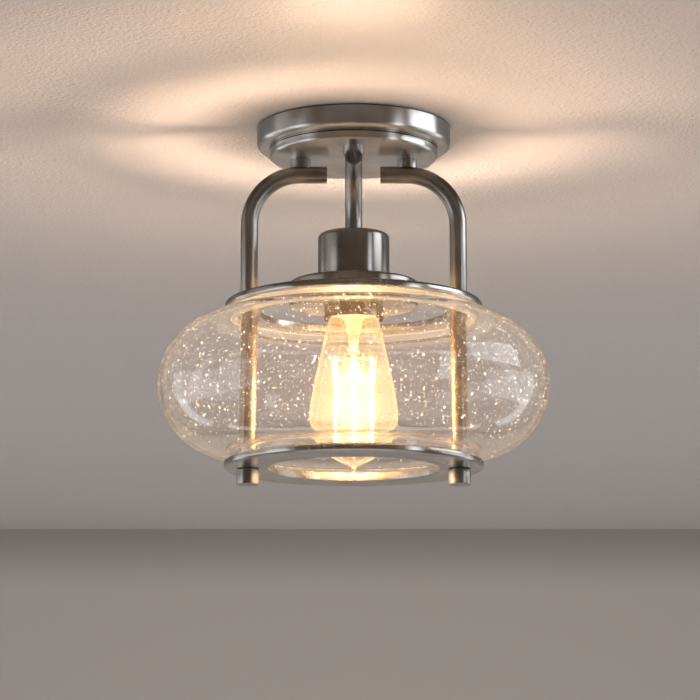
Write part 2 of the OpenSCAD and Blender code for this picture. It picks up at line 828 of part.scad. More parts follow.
module bulb_cap() {
    r = bulb_cap_d / 2;
    top_r = 9.5;
    color("silver") rotate_extrude() difference() {
        polygon([[0, cap_end_z], [r, cap_end_z], [r, cap_shell_z - 2.5], [top_r, cap_shell_z],
                 [0, cap_shell_z]]);
        polygon([[0, cap_end_z - cut], [r - cap_shell_t, cap_end_z - cut],
                 [r - cap_shell_t, cap_shell_z - 2.7], [top_r - cap_shell_t, cap_shell_z + cut],
                 [0, cap_shell_z + cut]]);
    }
}

module bulb_insulator() {
    foot_r = 8.8;
    contact_r = 4.8;
    color("black") rotate_extrude()
        polygon([[0, cap_shell_z - 1], [foot_r, cap_shell_z - 1], [foot_r, cap_shell_z],
                 [contact_r, bulb_top_z - 0.8], [0, bulb_top_z - 0.8]]);
}

module bulb_contact() {
    color("silver") rod(bulb_top_z - 0.8, bulb_top_z, 4);
}

// The glass mount: a flare in the neck, a stem and a button at its lower end
module bulb_stem() {
    flare_r = neck_r - bulb_wall;
    flare_z = cap_end_z + 1;
    l = flare_z - stem_button_z;
    press_r = stem_glass_r * 1.6;
    color("lightyellow", 0.5) rotate_extrude()
        polygon([[0, flare_z], [flare_r, flare_z], [flare_r, flare_z - l * 0.04],
                 [press_r, flare_z - l * 0.26], [press_r, flare_z - l * 0.43],
                 [stem_glass_r, flare_z - l * 0.55], [stem_glass_r, stem_button_z + stem_button_h],
                 [stem_glass_r + 1, stem_button_z + stem_button_h / 2],
                 [stem_glass_r, stem_button_z], [0, stem_button_z]]);
}

module at_bars() {
    for (i = [0:bar_count - 1]) rotate([0, 0, (i + 0.5) * 360 / bar_count]) children();
}

module filament_bars() {
    color("khaki") at_bars() translate([bar_circle_d / 2, 0, 0])
        rod(bars_low_z, bars_top_z, bar_d / 2);
}

// A central wire with a spoke to each end of each bar
module filament_supports() {
    r = support_d / 2;
    color("silver") {
        rod(bars_low_z - support_d, stem_button_z, r * 1.5);
        at_bars() for (z = [bars_top_z + r, bars_low_z - r])
            translate([0, 0, z]) rotate([0, 90, 0]) cylinder(h = bar_circle_d / 2 + r, r = r);
    }
}

mounting_strap();
earth_screw();
earth_wire();
canopy();
rim_screws();
post_left();
post_right();
post_front();
post_screws();
post_washer();
wire_nipple();
nipple_nut();
arm_left();
arm_right();
arm_stem();
arm_plugs();
stem_plug();
ring_studs();
top_ring();
rod_left();
rod_right();
gasket_top();
glass_shade();
gasket_bottom();
bottom_ring();
cap_studs();
cap_nut_left();
cap_nut_right();
stem_nipple();
stem_nut();
socket_bracket();
bracket_screws();
socket_cup();
pan_cover();
spacer_tube();
reflector_plate();
socket_sleeve();
clamp_ring();
lampholder();
screw_shell();
centre_contact();
terminal_screws();
wire_black();
wire_white();
connector_black();
connector_white();
bulb_cap();
bulb_insulator();
bulb_contact();
bulb_glass();
bulb_stem();
filament_bars();
filament_supports();
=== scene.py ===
"""Finishes, glass, lamp and studio for a porch ceiling lantern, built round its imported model."""
import logging
import math
import random
from dataclasses import dataclass, replace
from enum import Enum
from typing import Any, Callable, Iterable, Sequence

import bmesh
import bpy
from mathutils import Matrix, Vector


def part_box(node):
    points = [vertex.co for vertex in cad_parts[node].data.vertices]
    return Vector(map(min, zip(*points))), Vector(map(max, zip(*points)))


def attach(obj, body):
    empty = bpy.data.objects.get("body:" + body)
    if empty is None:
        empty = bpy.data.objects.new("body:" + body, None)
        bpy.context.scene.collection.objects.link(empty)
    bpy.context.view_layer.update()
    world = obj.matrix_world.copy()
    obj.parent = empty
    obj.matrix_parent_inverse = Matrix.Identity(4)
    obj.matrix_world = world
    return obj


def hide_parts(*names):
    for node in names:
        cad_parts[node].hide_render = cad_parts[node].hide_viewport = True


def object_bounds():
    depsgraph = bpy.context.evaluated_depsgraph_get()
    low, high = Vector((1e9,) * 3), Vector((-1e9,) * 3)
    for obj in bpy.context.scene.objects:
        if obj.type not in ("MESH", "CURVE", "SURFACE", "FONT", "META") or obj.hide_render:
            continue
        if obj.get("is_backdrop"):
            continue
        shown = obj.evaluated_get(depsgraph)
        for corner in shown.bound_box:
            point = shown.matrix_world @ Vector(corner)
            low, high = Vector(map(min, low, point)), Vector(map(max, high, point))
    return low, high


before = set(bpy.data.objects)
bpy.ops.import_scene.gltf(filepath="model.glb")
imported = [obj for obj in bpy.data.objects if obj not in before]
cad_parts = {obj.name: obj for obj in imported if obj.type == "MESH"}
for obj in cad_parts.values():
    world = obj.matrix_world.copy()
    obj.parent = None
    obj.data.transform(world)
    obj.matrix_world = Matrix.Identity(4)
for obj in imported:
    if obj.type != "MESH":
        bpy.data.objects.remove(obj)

CAD_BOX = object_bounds()
LOG = logging.getLogger("lantern")
MM = 0.001
NEAR = 1e-5
Colour = tuple[float, float, float]
Place = tuple[float, float, float]
Point = tuple[float, float]
Inputs = dict[str | int, Any]
Material = bpy.types.Material
Vert = bmesh.types.BMVert
Edge = bmesh.types.BMEdge


# ---- Shader graphs ----

@dataclass(frozen=True)
class Value:
    """An output socket of a shader graph; its arithmetic adds Math nodes."""

    graph: "Graph"
    socket: bpy.types.NodeSocket

    def _math(self, operation: str, first: Any, second: Any = 0.0) -> "Value":
        """Adds one Math node and returns its output."""
        return self.graph.node("ShaderNodeMath", {"operation": operation}, {0: first, 1: second})

    def __add__(self, other: Any) -> "Value":
        """Sum."""
        return self._math("ADD", self, other)

    __radd__ = __add__

    def __sub__(self, other: Any) -> "Value":
        """Difference."""
        return self._math("SUBTRACT", self, other)

    def __rsub__(self, other: Any) -> "Value":
        """Difference, from the other side."""
        return self._math("SUBTRACT", other, self)

    def __mul__(self, other: Any) -> "Value":
        """Product."""
        return self._math("MULTIPLY", self, other)

    __rmul__ = __mul__

    def __truediv__(self, other: Any) -> "Value":
        """Quotient."""
        return self._math("DIVIDE", self, other)

    def __pow__(self, other: Any) -> "Value":
        """Power."""
        return self._math("POWER", self, other)

    def __abs__(self) -> "Value":
        """Size without the sign."""
        return self._math("ABSOLUTE", self)

    def wave(self) -> "Value":
        """Sine of the value, in radians."""
        return self._math("SINE", self)

    def limited(self, low: float, high: float) -> "Value":
        """The value as a smooth step, 0 at low and 1 at high."""
        settings = {"interpolation_type": "SMOOTHSTEP"}
        return self.graph.node("ShaderNodeMapRange", settings,
                               {"Value": self, "From Min": low, "From Max": high})


class Graph:
    """The node graph of one material, which takes its name."""

    def __init__(self, name: str) -> None:
        """Makes an empty material with an output node."""
        self.material = bpy.data.materials.new(name)
        self.material.use_nodes = True
        self.tree = self.material.node_tree
        self.tree.nodes.clear()
        self.output = self.tree.nodes.new("ShaderNodeOutputMaterial")

    def add(self, kind: str, settings: dict[str, Any] | None = None,
            inputs: Inputs | None = None) -> bpy.types.Node:
        """Adds a node of any type.

        Args:
            kind: the node's type.
            settings: its properties, set first.
            inputs: values or links by socket name or number; a colour needs no alpha.

        Returns:
            The node.
        """
        made = self.tree.nodes.new(kind)
        for key, value in (settings or {}).items():
            setattr(made, key, value)
        for key, value in (inputs or {}).items():
            socket = made.inputs[key]
            if isinstance(value, Value):
                self.tree.links.new(value.socket, socket)
            else:
                socket.default_value = (*value, 1.0) if socket.type == "RGBA" else value
        return made

    def node(self, kind: str, settings: dict[str, Any] | None = None,
             inputs: Inputs | None = None, output: str | int = 0) -> Value:
        """Adds a node as add does, and returns one of its outputs."""
        return Value(self, self.add(kind, settings, inputs).outputs[output])

    def place(self) -> Value:
        """Object coordinates, in metres."""
        return self.node("ShaderNodeTexCoord", output="Object")

    def split(self, vector: Value) -> tuple[Value, Value, Value]:
        """A vector's three parts."""
        made = self.add("ShaderNodeSeparateXYZ", None, {0: vector})
        return tuple(Value(self, socket) for socket in made.outputs)

    def height(self) -> Value:
        """Height of the point, in metres."""
        return self.split(self.place())[2]

    def facing(self) -> Value:
        """0 where the surface faces the eye and 1 at its outline."""
        return self.node("ShaderNodeLayerWeight", None, {"Blend": 0.5}, "Facing")

    def join(self, x: Any, y: Any, z: Any) -> Value:
        """A vector from three values."""
        return self.node("ShaderNodeCombineXYZ", None, {0: x, 1: y, 2: z})

    def length(self, x: Value, y: Value) -> Value:
        """Distance from the origin in two directions."""
        return (x * x + y * y) ** 0.5

    def noise(self, vector: Value, scale: float, detail: float = 2.0, rough: float = 0.5) -> Value:
        """Noise between about 0 and 1."""
        return self.node("ShaderNodeTexNoise", None, {
            "Vector": vector, "Scale": scale, "Detail": detail, "Roughness": rough})

    def blend(self, factor: Any, first: Any, second: Any) -> Value:
        """A mix of two colours."""
        return self.node("ShaderNodeMix", {"data_type": "RGBA"},
                         {0: factor, 6: first, 7: second}, 2)

    def bump(self, height: Value, distance: float) -> Value:
        """A normal that the height bends; distance is in metres."""
        return self.node("ShaderNodeBump", None, {
            "Height": height, "Distance": distance, "Strength": 1.0})

    def principled(self, inputs: Inputs) -> Value:
        """The main shader with the given sockets."""
        return self.node("ShaderNodeBsdfPrincipled", None, inputs)

    def finish(self, shader: Value) -> Material:
        """Links the shader to the output and returns the material."""
        self.tree.links.new(shader.socket, self.output.inputs[0])
        return self.material

    def lit_glass(self, glow: Value, strength: float, inputs: Inputs) -> Material:
        """Finishes as clear glass that lets the lamps' light pass straight, as a thin wall does.

        Args:
            glow: the colour of the light that it gives off.
            strength: the strength of that light.
            inputs: the main shader's other sockets.

        Returns:
            The material.
        """
        glass = self.principled({"Transmission Weight": 1.0, "Emission Color": glow,
                                 "Emission Strength": strength, **inputs})
        shadow = self.node("ShaderNodeLightPath", output="Is Shadow Ray")
        clear = self.node("ShaderNodeBsdfTransparent", None, {0: (0.96, 0.96, 0.95)})
        return self.finish(self.node("ShaderNodeMixShader", None, {0: shadow, 1: glass, 2: clear}))


# ---- Finishes ----

# Painted shade: colour and widths of the fine dark lines painted where shade falls in creases and
# gaps
PAINTED_SHADE_TINT: Colour = (0.05, 0.045, 0.04)
PAINTED_SHADE_HALF = 0.4 * MM
PAINTED_SHADE_SOFT = 0.8 * MM
GLASS_IOR = 1.48
LINE_STRETCH = 1.6


class Brush(Enum):
    """How a metal surface was brushed."""

    AROUND = "around"
    SATIN = "satin"


@dataclass(frozen=True)
class BrushedMetal:
    """Satin metal with fine brush lines, cloudy sheen and faint handling marks.

    Lines brushed around a piece spread the light across them, up and down its sides. The painted
    shade lines are the heights of fine dark lines, painted where shade falls in a crease or a gap.
    """

    name: str
    tint: Colour
    dark: Colour
    roughness: float = 0.27
    brush: Brush = Brush.AROUND
    line_scale: float = 2600.0
    line_depth: float = 3e-6
    spread: float = 0.8
    painted_shade_lines: tuple[float, ...] = ()

    def _grain(self, graph: Graph, place: Value) -> Value:
        """Noise drawn out along the brush lines."""
        x, y, z = graph.split(place)
        if self.brush is Brush.SATIN:
            return graph.noise(place, self.line_scale * 0.7, 2.0, 0.6)
        radius = graph.length(x, y) + NEAR
        along = graph.join(x / radius * LINE_STRETCH, y / radius * LINE_STRETCH,
                           (radius + z * 1.7) * self.line_scale)
        return graph.noise(along, 1.0, 3.0, 0.65)

    def material(self) -> Material:
        """Builds the material."""
        graph = Graph(self.name)
        place = graph.place()
        grain = self._grain(graph, place)
        cloud = graph.noise(place, 38.0, 3.0, 0.55)
        wear = graph.noise(place, 170.0, 4.0, 0.6).limited(0.55, 0.75)
        shade = (cloud.limited(0.3, 0.7) * 0.65 + grain * 0.35).limited(0.0, 1.0)
        colour = graph.blend(shade, self.dark, self.tint)
        # painted shade: a fine dark line at each of these heights
        for level in self.painted_shade_lines:
            beside = abs(graph.height() - level).limited(PAINTED_SHADE_HALF, PAINTED_SHADE_SOFT)
            colour = graph.blend(beside, PAINTED_SHADE_TINT, colour)
        rough = self.roughness + (grain - 0.5) * 0.10 + (cloud - 0.5) * 0.12 + wear * 0.05
        return graph.finish(graph.principled({
            "Base Color": colour, "Metallic": 1.0, "Roughness": rough,
            "Anisotropic": self.spread if self.brush is Brush.AROUND else 0.0,
            "Anisotropic Rotation": 0.25, "Normal": graph.bump(grain, self.line_depth)}))


@dataclass(frozen=True)
class PlainMetal:
    """Plated or bare metal of small inner pieces, with a little tarnish."""

    name: str
    tint: Colour
    tarnish: Colour
    roughness: float = 0.3

    def material(self) -> Material:
        """Builds the material."""
        graph = Graph(self.name)
        place = graph.place()
        patch = graph.noise(place, 120.0, 4.0, 0.6).limited(0.35, 0.7)
        fine = graph.noise(place, 900.0, 2.0)
        return graph.finish(graph.principled({
            "Base Color": graph.blend(patch, self.tint, self.tarnish), "Metallic": 1.0,
            "Roughness": self.roughness + patch * 0.12 + fine * 0.05,
            "Normal": graph.bump(fine, 5e-6)}))


@dataclass(frozen=True)
class Moulded:
    """Plastic, rubber, enamel or glazed ceramic: slightly uneven colour and gloss."""

    name: str
    tint: Colour
    roughness: float
    coat: float = 0.0
    grain_depth: float = 1e-5
    clear: float = 0.0

    def material(self) -> Material:
        """Builds the material."""
        graph = Graph(self.name)
        place = graph.place()
        cloud = graph.noise(place, 90.0, 3.0)
        grain = graph.noise(place, 1500.0, 2.0)
        deep = tuple(part * 0.86 for part in self.tint)
        return graph.finish(graph.principled({
            "Base Color": graph.blend(cloud, deep, self.tint),
            "Roughness": self.roughness + (cloud - 0.5) * 0.1, "Coat Weight": self.coat,
            "Transmission Weight": self.clear, "Normal": graph.bump(grain, self.grain_depth)}))


@dataclass(frozen=True)
class BlownGlass:
    """Clear blown glass with faint waves, a faint painted glow, and a painted glow at its edges.

    Core and neck are painted glow: where the glass faces the eye, and above the neck's start.
    """

    name: str
    tint: Colour
    wave_depth: float
    # painted glow, not a lamp: colours the glass gives off as haze, at its rim, facing the eye and
    # above its neck
    painted_haze_glow: Colour
    rim: Colour
    roughness: float = 0.0
    painted_rim_glow_width: float = 4.0
    painted_core_glow: Colour | None = None
    neck: Colour | None = None
    painted_neck_glow_z: float = 0.0
    painted_neck_glow_fade: float = 3.5 * MM

    def material(self) -> Material:
        """Builds the material."""
        graph = Graph(self.name)
        waves = graph.noise(graph.place(), 20.0, 1.0, 0.3)
        facing = graph.facing()
        # painted glow: the glass gives off light, more facing the eye, at its outline and above its
        # neck
        painted_front_glow = graph.blend((1.0 - facing) ** 6.0, self.painted_haze_glow, self.painted_core_glow or self.painted_haze_glow)
        glow = graph.blend(facing ** self.painted_rim_glow_width, painted_front_glow, self.rim)
        if self.neck:
            above = (graph.height() - self.painted_neck_glow_z).limited(0.0, self.painted_neck_glow_fade)
            glow = graph.blend(above, glow, self.neck)
        return graph.lit_glass(glow, 1.0, {
            "Base Color": self.tint, "Roughness": self.roughness, "IOR": GLASS_IOR,
            "Normal": graph.bump(waves, self.wave_depth)})


@dataclass(frozen=True)
class LampGlass:
    """The lamp's envelope: clear, with painted glow beside the lit bars and at its golden edges."""

    name: str
    tint: Colour
    painted_core_glow: Colour
    painted_haze_glow: Colour
    rim: Colour
    top: float
    bottom: float
    fade: float = 12 * MM

    def material(self) -> Material:
        """Builds the material."""
        graph = Graph(self.name)
        z = graph.height()
        facing = graph.facing()
        # painted glow: light painted beside the lit bars, and a golden painted glow at the outline
        beside = (z - self.bottom).limited(-self.fade, self.fade * 0.5)
        under = (self.top - z).limited(-self.fade, self.fade)
        painted_fill_glow = graph.blend((1.0 - facing) ** 2.0 * beside * under, self.painted_haze_glow, self.painted_core_glow)
        return graph.lit_glass(graph.blend(facing ** 5.0, painted_fill_glow, self.rim), 1.0, {
            "Base Color": self.tint, "Roughness": 0.03, "IOR": GLASS_IOR})


@dataclass(frozen=True)
class Seeds:
    """Small bubbles with painted glints: a golden painted glow close to the lamp, pale further out.
    """

    name: str
    painted_near_glint: Colour = (1.0, 0.62, 0.28)
    painted_far_glint: Colour = (1.0, 0.76, 0.54)
    strength: float = 1.3

    def material(self) -> Material:
        """Builds the material."""
        graph = Graph(self.name)
        place = graph.place()
        x, y, _ = graph.split(place)
        # painted glints: golden close to the lamp, pale further out, on seeds picked by noise
        away = graph.length(x, y).limited(0.07, 0.15)
        painted_spark_mask = graph.noise(place, 420.0, 0.0).limited(0.45, 0.75)
        colour = graph.blend(away, self.painted_near_glint, self.painted_far_glint)
        return graph.lit_glass(graph.blend(painted_spark_mask, (0.02, 0.02, 0.02), colour), self.strength, {
            "Base Color": (1.0, 1.0, 1.0), "Roughness": 0.02, "IOR": 1.4})


@dataclass(frozen=True)
class GlowingBar:
    """The lit coat of a filament bar: bright in the middle of each chip, amber at the ends."""

    name: str
    hot: Colour
    edge: Colour
    strength: float
    top: float
    bottom: float
    chip_pitch: float = 2.1 * MM

    def material(self) -> Material:
        """Builds the material."""
        graph = Graph(self.name)
        z = graph.height()
        middle = (self.top + self.bottom) / 2
        reach = (self.top - self.bottom) / 2
        cool = abs((z - middle) / reach).limited(0.86, 1.0)
        chips = (z * (2 * math.pi / self.chip_pitch)).wave() * 0.12 + 0.88
        colour = graph.blend(cool + (1.0 - chips), self.hot, self.edge)
        return graph.finish(graph.principled({
            "Base Color": (0.95, 0.75, 0.4), "Roughness": 0.5, "Emission Color": colour,
            "Emission Strength": self.strength}))


@dataclass(frozen=True)
class Plaster:
    """Matt plaster of the room's planes, seen from one side only."""

    name: str
    tint: Colour
    relief: float
    painted_corner_shade: float = 0.0
    painted_corner_shade_h: float = 0.11

    def material(self) -> Material:
        """Builds the material; the painted corner shade is how much darker its upper edge is."""
        graph = Graph(self.name)
        place = graph.place()
        broad = graph.noise(place, 14.0, 4.0, 0.6)
        fine = graph.noise(place, 300.0, 3.0, 0.6)
        height = broad * 0.5 + fine * 0.5
        # painted shade: the colour darkens towards the upper edge
        deep = tuple(part * (1.0 - self.painted_corner_shade) for part in self.tint)
        colour = graph.blend((0.0 - graph.height()).limited(0.0, self.painted_corner_shade_h), deep, self.tint)
        shader = graph.principled({
            "Base Color": colour if self.painted_corner_shade else self.tint, "Roughness": 0.55,
            "Specular IOR Level": 0.4, "Normal": graph.bump(height, self.relief)})
        back = graph.node("ShaderNodeNewGeometry", output="Backfacing")
        clear = graph.node("ShaderNodeBsdfTransparent")
        return graph.finish(graph.node("ShaderNodeMixShader", None, {0: back, 1: shader, 2: clear}))


NICKEL = BrushedMetal("nickel_spun", (0.53, 0.505, 0.48), (0.39, 0.365, 0.34), 0.30)
# painted light: the canopy's nickel, a much lighter copy of the spun nickel, so that it looks
# brightly lit
NICKEL_PAN_PAINTED_LIGHT = BrushedMetal("nickel_pan_painted_light", (0.80, 0.77, 0.73), (0.63, 0.60, 0.57), 0.30)
NICKEL_RING = BrushedMetal("nickel_ring", (0.62, 0.60, 0.575), (0.46, 0.44, 0.415), 0.25, spread=0.6)
# painted warm shade: the rods' nickel, a darker and browner copy of the nickel, for rods in the
# lamp's warm light and shade
NICKEL_ROD_PAINTED_SHADE = BrushedMetal("nickel_rod_painted_shade", (0.50, 0.42, 0.34), (0.34, 0.27, 0.20), 0.27,
                          Brush.SATIN, line_depth=1e-6)
# painted shade: the sleeve's nickel, a darker brown copy of the nickel, to hold down the lamp's light
# on it
NICKEL_SLEEVE_PAINTED_SHADE = BrushedMetal("nickel_sleeve_painted_shade", (0.36, 0.29, 0.22), (0.24, 0.19, 0.14), 0.25)
NICKEL_TUBE = BrushedMetal("nickel_tube", (0.56, 0.535, 0.51), (0.40, 0.38, 0.36), 0.33,
                           Brush.SATIN, line_depth=1e-6)
ZINC = PlainMetal("zinc", (0.66, 0.67, 0.68), (0.48, 0.48, 0.47))
BRASS = PlainMetal("brass", (0.80, 0.62, 0.30), (0.55, 0.38, 0.16), 0.25)
LAMP_METAL = PlainMetal("lamp_metal", (0.74, 0.73, 0.70), (0.52, 0.50, 0.46), 0.18)
SOLDER = PlainMetal("solder", (0.62, 0.62, 0.62), (0.40, 0.40, 0.40), 0.35)
GREEN_METAL = Moulded("green_screw", (0.06, 0.30, 0.11), 0.35, 0.3)
GREEN_WIRE = Moulded("green_wire", (0.05, 0.30, 0.09), 0.45)
BLACK_WIRE = Moulded("black_wire", (0.025, 0.025, 0.027), 0.42)
WHITE_WIRE = Moulded("white_wire", (0.80, 0.79, 0.76), 0.45)
CONNECTOR = Moulded("connector", (0.75, 0.25, 0.05), 0.4, grain_depth=3e-5)
PORCELAIN = Moulded("porcelain", (0.86, 0.85, 0.81), 0.2, 0.6)
GASKET = Moulded("gasket", (0.74, 0.73, 0.70), 0.4, clear=0.2)
BLACK_GLASS = Moulded("black_glass", (0.02, 0.02, 0.022), 0.12, 0.5)
# painted glow: the shade's glass gives off a faint haze and a golden glow at its rim and neck, for
# the lamp's light in it
SHADE_GLASS = BlownGlass("shade_glass", (0.985, 0.99, 0.985), 1e-4, (0.017, 0.010, 0.005),
                         (0.24, 0.155, 0.08), painted_rim_glow_width=8.0, painted_core_glow=(0.045, 0.021, 0.010),
                         neck=(0.16, 0.108, 0.060))
# painted glow: the lamp's glass mount gives off golden light, as if lit by the bars
MOUNT_GLASS = BlownGlass("mount_glass", (1.0, 0.96, 0.88), 0.0, (0.34, 0.22, 0.08),
                         (1.0, 0.65, 0.25), roughness=0.02)


# ---- Modelling ----

def put(name: str, data: bpy.types.ID) -> bpy.types.Object:
    """Makes an object from its data and puts it into the scene."""
    made = bpy.data.objects.new(name, data)
    bpy.context.scene.collection.objects.link(made)
    return made


class Model:
    """A bmesh in the making, which takes the name of its object."""

    def __init__(self, name: str) -> None:
        """Starts an empty mesh."""
        self.name = name
        self.bm = bmesh.new()

    def pen(self, r: float, z: float) -> Vert:
        """Starts an outline at radius r and height z."""
        return self.bm.verts.new((r, 0.0, z))

    def line(self, start: Vert, *points: Point) -> Vert:
        """Draws the outline on, straight from point to point, each a radius and a height."""
        for r, z in points:
            start = bmesh.ops.extrude_vert_indiv(self.bm, verts=[start])["verts"][0]
            start.co = Vector((r, 0.0, z))
        return start

    def arc(self, start: Vert, centre: Point, degrees: float, steps: int) -> Vert:
        """Draws the outline on, round a centre; positive angles turn from +Z towards +X."""
        made = bmesh.ops.spin(self.bm, geom=[start], cent=(centre[0], 0.0, centre[1]),
                              axis=(0.0, 1.0, 0.0), angle=math.radians(degrees), steps=steps,
                              use_merge=False, use_duplicate=False)
        return next(part for part in made["geom_last"] if isinstance(part, Vert))

    def turn(self, steps: int, *ends: Vert) -> None:
        """Joins the outline's ends, if given, and turns it once round the Z axis."""
        if ends:
            self.bm.edges.new(ends)
        bmesh.ops.spin(self.bm, geom=[*self.bm.verts, *self.bm.edges], cent=(0.0, 0.0, 0.0),
                       axis=(0.0, 0.0, 1.0), angle=2 * math.pi, steps=steps, use_merge=True,
                       use_duplicate=False)
        self.tidy()

    def tidy(self) -> None:
        """Merges doubles and points the faces outwards."""
        bmesh.ops.remove_doubles(self.bm, verts=self.bm.verts, dist=1e-6)
        bmesh.ops.dissolve_degenerate(self.bm, dist=1e-7, edges=self.bm.edges)
        bmesh.ops.recalc_face_normals(self.bm, faces=self.bm.faces)

    def soften(self, chosen: Callable[[Edge], bool], size: float, segments: int = 3) -> None:
        """Rounds the chosen edges."""
        edges = [edge for edge in self.bm.edges if chosen(edge)]
        bmesh.ops.bevel(self.bm, geom=edges, offset=size, offset_type="OFFSET", segments=segments,
                        profile=0.5, affect="EDGES", material=-1, clamp_overlap=True)

    def soften_ring(self, r: float, z: float, size: float, segments: int = 3) -> None:
        """Rounds the round edge at radius r and height z."""
        self.soften(lambda edge: all(
            abs(v.co.z - z) < NEAR and abs(math.hypot(v.co.x, v.co.y) - r) < NEAR
            for v in edge.verts), size, segments)

    def move(self, x: float, y: float, z: float) -> None:
        """Moves everything."""
        bmesh.ops.translate(self.bm, vec=(x, y, z), verts=self.bm.verts)

    def curve(self, start: Vert, pulls: Sequence[Point], steps: int) -> Vert:
        """Draws the outline on along a cubic curve; pulls are its two handles and its end."""
        points = [Vector((start.co.x, start.co.z)), *(Vector(pull) for pull in pulls)]
        for step in range(1, steps + 1):
            t = step / steps
            weights = ((1 - t) ** 3, 3 * (1 - t) ** 2 * t, 3 * (1 - t) * t * t, t ** 3)
            place = sum((point * weight for point, weight in zip(points, weights)), Vector((0, 0)))
            start = self.line(start, place)
        return start

    def stamp(self, pattern: bpy.types.Mesh, place: Matrix) -> None:
        """Adds a copy of a mesh at a place."""
        copy = pattern.copy()
        copy.transform(place)
        self.bm.from_mesh(copy)
        bpy.data.meshes.remove(copy)

    def mesh(self) -> bpy.types.Mesh:
        """Turns the bmesh into a mesh and frees it."""
        made = bpy.data.meshes.new(self.name)
        self.bm.to_mesh(made)
        self.bm.free()
        return made

    def done(self, body: str, material: Material,
             stands_for: Sequence[str] = (), smooth_limit: float = 40.0) -> None:
        """Makes the object, at the origin.

        Args:
            body: the CAD body that it rides on.
            material: its finish.
            stands_for: the CAD nodes that it replaces.
            smooth_limit: sharper edges than this stay sharp, in degrees.
        """
        limit = math.radians(smooth_limit)
        for face in self.bm.faces:
            face.smooth = True
        for edge in self.bm.edges:
            edge.smooth = len(edge.link_faces) == 2 and edge.calc_face_angle(0.0) < limit
        mesh = self.mesh()
        mesh.materials.append(material)
        piece = put(self.name, mesh)
        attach(piece, body)
        if stands_for:
            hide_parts(*stands_for)
        LOG.info("%s: %d faces", self.name, len(mesh.polygons))


@dataclass(frozen=True)
class Span:
    """A CAD node's extent: outer radius round its own middle, lowest and highest point."""

    x: float
    y: float
    r: float
    low: float
    high: float

    @classmethod
    def of(cls, node: str) -> "Span":
        """Reads the extent of a node."""
        low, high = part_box(node)
        return cls((low.x + high.x) / 2, (low.y + high.y) / 2, (high.x - low.x) / 2, low.z, high.z)

    @property
    def middle(self) -> float:
        """Height of its middle."""
        return (self.low + self.high) / 2


def paint(material: Material, *nodes: str) -> None:
    """Gives CAD nodes a finish."""
    for name in nodes:
        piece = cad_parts[name]
        piece.data.materials.clear()
        piece.data.materials.append(material)


# ---- Canopy ----

@dataclass
class Canopy:
    """The stepped pan against the ceiling."""

    band_h: float = 17 * MM
    shoulder: float = 4 * MM
    step_r: float = 66.2 * MM
    edge: float = 2.5 * MM
    wall: float = 1 * MM
    crease_h: float = 1.0 * MM
    crease_depth: float = 0.55 * MM
    # how far below the band the painted shade line in the crease lies
    painted_shade_line_h: float = 0.9 * MM

    def build(self) -> None:
        """Turns the pan from its outline, rolled at the rim, with a fine crease under the step."""
        span = Span.of("canopy")
        r, floor = span.r, span.low
        model = Model("canopy_pan")
        crease_r = self.step_r - self.crease_depth
        crease_z = -self.band_h - self.crease_h
        inner_r = self.step_r - self.wall
        start = model.pen(r - self.wall, 0.0)
        at = model.line(start, (r, 0.0), (r, self.shoulder - self.band_h))
        at = model.arc(at, (r - self.shoulder, self.shoulder - self.band_h), 90.0, 10)
        at = model.line(at, (crease_r, -self.band_h), (crease_r, crease_z), (self.step_r, crease_z),
                        (self.step_r, floor + self.edge))
        at = model.arc(at, (self.step_r - self.edge, floor + self.edge), 90.0, 8)
        at = model.line(at, (self.step_r * 0.5, floor), (0.0, floor), (0.0, floor + self.wall),
                        (self.step_r - self.edge, floor + self.wall), (inner_r, floor + self.edge),
                        (inner_r, self.wall - self.band_h),
                        (r - self.shoulder, self.wall - self.band_h),
                        (r - self.wall, self.shoulder - self.band_h))
        model.turn(192, at, start)
        model.soften_ring(r, 0.0, self.wall * 0.4)
        model.soften_ring(self.step_r, crease_z, self.crease_depth * 0.5)
        # painted shade: dark lines at the rim against the ceiling and in the crease under the step
        finish = replace(NICKEL_PAN_PAINTED_LIGHT, painted_shade_lines=(0.0, -self.band_h - self.painted_shade_line_h))
        model.done("fixture", finish.material(), ["canopy"])

    def dress(self) -> None:
        """Finishes all fittings, screws, wires and gaskets that keep their CAD shape."""
        paint(ZINC.material(), "mounting_strap", "rim_screws", "post_screws", "post_washer",
              "bracket_screws", "terminal_screws", "socket_bracket", "spacer_tube", "clamp_ring",
              "arm_plugs", "stem_plug", "ring_studs", "cap_studs")
        paint(BRASS.material(), "wire_nipple", "nipple_nut", "stem_nipple", "stem_nut",
              "screw_shell", "centre_contact")
        paint(GREEN_METAL.material(), "earth_screw")
        paint(GREEN_WIRE.material(), "earth_wire")
        paint(BLACK_WIRE.material(), "wire_black")
        paint(WHITE_WIRE.material(), "wire_white")
        paint(CONNECTOR.material(), "connector_black", "connector_white")
        paint(PORCELAIN.material(), "lampholder")
        paint(GASKET.material(), "gasket_top", "gasket_bottom")


# ---- Arms ----

